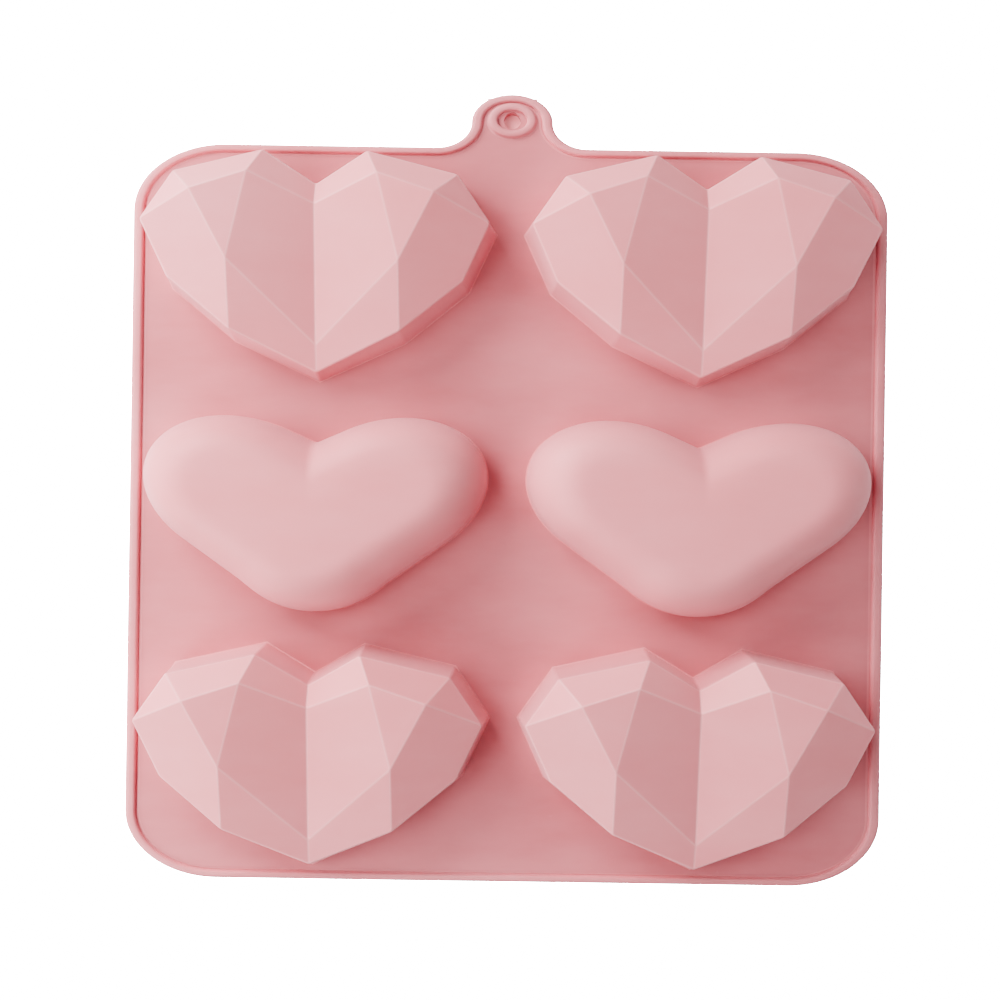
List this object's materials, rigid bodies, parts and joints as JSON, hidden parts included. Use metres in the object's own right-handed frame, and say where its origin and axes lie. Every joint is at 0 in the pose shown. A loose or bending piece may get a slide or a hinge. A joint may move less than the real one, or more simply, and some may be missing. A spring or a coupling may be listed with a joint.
{
  "type": "resin casting mould",
  "caption": "Flat silicone casting mould with heart-shaped cavities, a rim bead and a hanging tab with an eyelet.",
  "frame": {"origin": "middle of the sheet on the flat casting face, where the cavities open", "axes": "+X to the right across the sheet, +Y towards the hanging tab, +Z away from the casting face, towards the closed ends of the cups"},
  "size_m": [0.18, 0.1878, 0.0206],
  "materials": {
    "silicone_sheet": "matt pink silicone, smooth, a little translucent",
    "silicone_edge": "matt pink silicone, rounded bead",
    "silicone_cup": "matt pink silicone, satin highlights along the facet edges"
  },
  "bodies": {
    "root": {"web_sheet": "silicone_sheet", "rim_bead": "silicone_edge", "hanging_tab": "silicone_edge", "eyelet_collar": "silicone_edge", "faceted_heart_cup_top_left": "silicone_cup", "faceted_heart_cup_top_right": "silicone_cup", "faceted_heart_cup_bottom_left": "silicone_cup", "faceted_heart_cup_bottom_right": "silicone_cup", "smooth_heart_cup_left": "silicone_cup", "smooth_heart_cup_right": "silicone_cup"}
  },
  "joints": []
}
